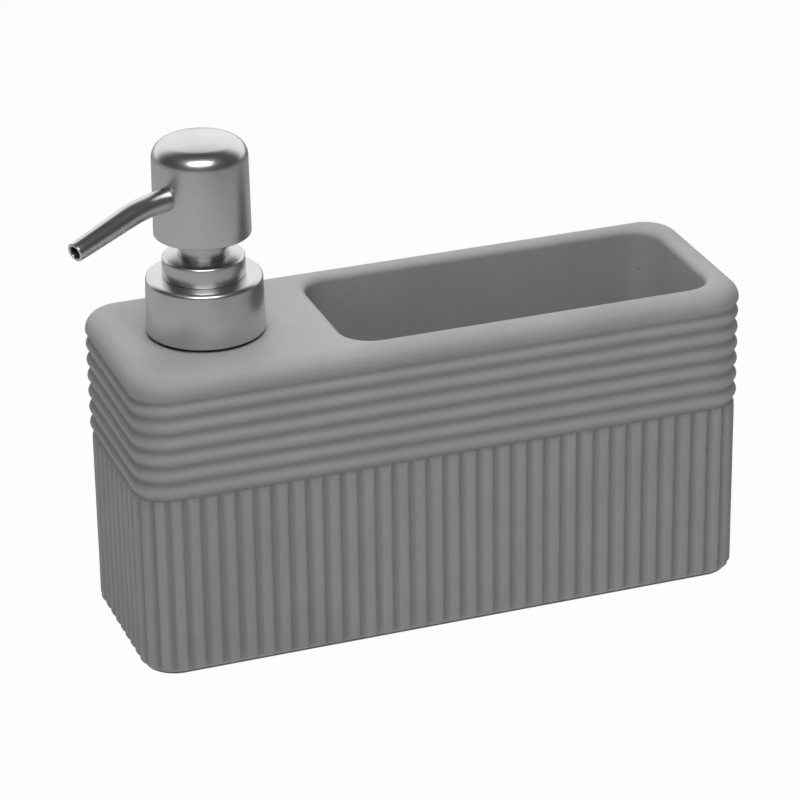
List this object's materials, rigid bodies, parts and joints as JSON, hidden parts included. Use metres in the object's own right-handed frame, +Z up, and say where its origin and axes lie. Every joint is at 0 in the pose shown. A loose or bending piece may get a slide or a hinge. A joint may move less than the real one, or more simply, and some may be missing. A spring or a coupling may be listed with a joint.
{
  "type": "soap pump caddy",
  "caption": "Ribbed and fluted ceramic block with a soap tank, a lift-out pump whose spout turns and presses down, and an open well for a sponge.",
  "frame": {"origin": "centre of the base pad's underside, on the surface the caddy stands on", "axes": "+Z up, +X along the body from the pump's end towards the sponge well's end, -Y towards the front, which the spout leans to"},
  "size_m": [0.1981, 0.0624, 0.1499],
  "materials": {
    "clay": "satin matt glaze, mid grey",
    "pearl_silver": "satin silver metallised coat",
    "white_plastic": "as moulded",
    "soft_seal": "soft matt",
    "spring_steel": "bright drawn wire and polished ball",
    "foam": "fine closed-cell foam"
  },
  "bodies": {
    "caddy": {"ceramic_body": "clay", "base_pad": "foam"},
    "pump": {"neck_plug": "soft_seal", "collar_shell": "pearl_silver", "collar_insert": "white_plastic", "flange_gasket": "soft_seal", "lock_ring": "pearl_silver", "chaplet": "white_plastic", "pump_housing": "white_plastic", "ball_retainer": "white_plastic", "dip_tube": "white_plastic", "return_spring": "spring_steel"},
    "plunger": {"stem": "white_plastic", "piston_seal": "soft_seal"},
    "head": {"stem_sleeve": "pearl_silver", "actuator_core": "white_plastic", "spout_seal": "soft_seal", "spout_tube": "pearl_silver", "head_shell": "pearl_silver"},
    "ball": {"inlet_ball": "spring_steel"}
  },
  "joints": [
    {"name": "pump_lift", "type": "slide", "parent": "caddy", "child": "pump", "axis": [0, 0, 1], "range_m": [0, 0.095]},
    {"name": "pump_press", "type": "slide", "parent": "pump", "child": "plunger", "axis": [0, 0, -1], "range_m": [0, 0.011], "stiffness_N_per_m": 600, "springref_m": -0.012, "deforming": ["return_spring"]},
    {"name": "spout_swivel", "type": "hinge", "parent": "plunger", "child": "head", "pos_m": [-0.0625, 0, 0.1351], "axis": [0, 0, 1], "continuous": true},
    {"name": "inlet_ball_lift", "type": "slide", "parent": "pump", "child": "ball", "axis": [0, 0, 1], "range_m": [0, 0.0018]}
  ]
}
